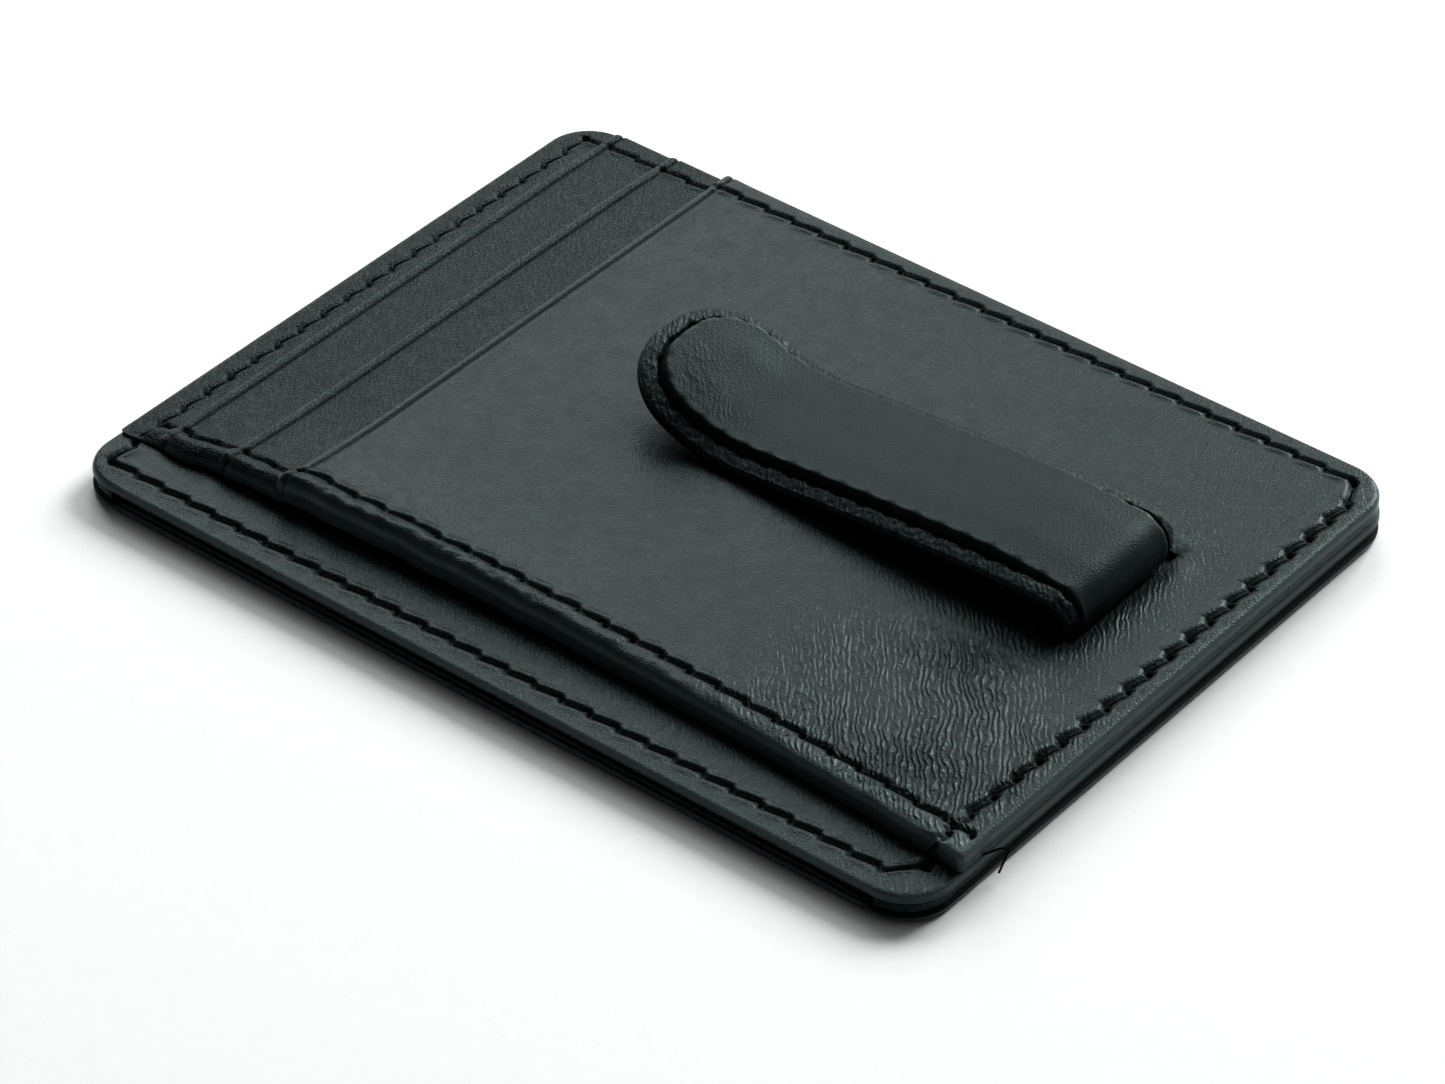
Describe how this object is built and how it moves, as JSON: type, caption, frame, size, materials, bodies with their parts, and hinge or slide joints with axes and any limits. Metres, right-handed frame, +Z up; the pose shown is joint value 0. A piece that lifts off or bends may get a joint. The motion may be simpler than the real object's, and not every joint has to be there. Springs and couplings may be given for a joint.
{
  "type": "money clip card wallet",
  "caption": "Slim leather card wallet with a leather-covered spring clip for folded notes, side-opening card pockets and an open centre pocket.",
  "frame": {"origin": "centre of the footprint on the surface the wallet lies on", "axes": "+X along the long side towards the clip's bend, +Y along the short side away from the open front edge, +Z up through the clip side"},
  "size_m": [0.1, 0.076, 0.0112],
  "materials": {
    "cover_leather": "charcoal-black fine-creased nappa, satin",
    "pocket_leather": "thin skived leather, matte",
    "lining_cloth": "thin woven pocket cloth",
    "stiffener_board": "pressed leather-fibre board, hidden",
    "foam": "thin closed-cell foam, hidden",
    "spring_steel": "rolled spring strip, hidden"
  },
  "bodies": {
    "wallet": {"back_cover": "cover_leather", "back_lining": "lining_cloth", "front_lining": "lining_cloth", "base_panel": "cover_leather", "pocket_backing": "pocket_leather", "pocket_strip_lower": "pocket_leather", "pocket_strip_upper": "pocket_leather", "clip_board": "stiffener_board", "clip_panel": "cover_leather", "spring_foot": "spring_steel", "clip_cover_foot": "cover_leather", "clip_lining_foot": "pocket_leather"},
    "clip_arm": {"spring_arm": "spring_steel", "clip_pad": "foam", "clip_cover_arm": "cover_leather", "clip_lining_arm": "pocket_leather"}
  },
  "joints": [
    {"name": "clip_lift", "type": "hinge", "parent": "wallet", "child": "clip_arm", "pos_m": [0.03985, 0.0073, 0.00625], "axis": [0, 1, 0], "range_deg": [0, 15], "stiffness_Nm_per_rad": 2.5, "springref_deg": -5.73}
  ]
}
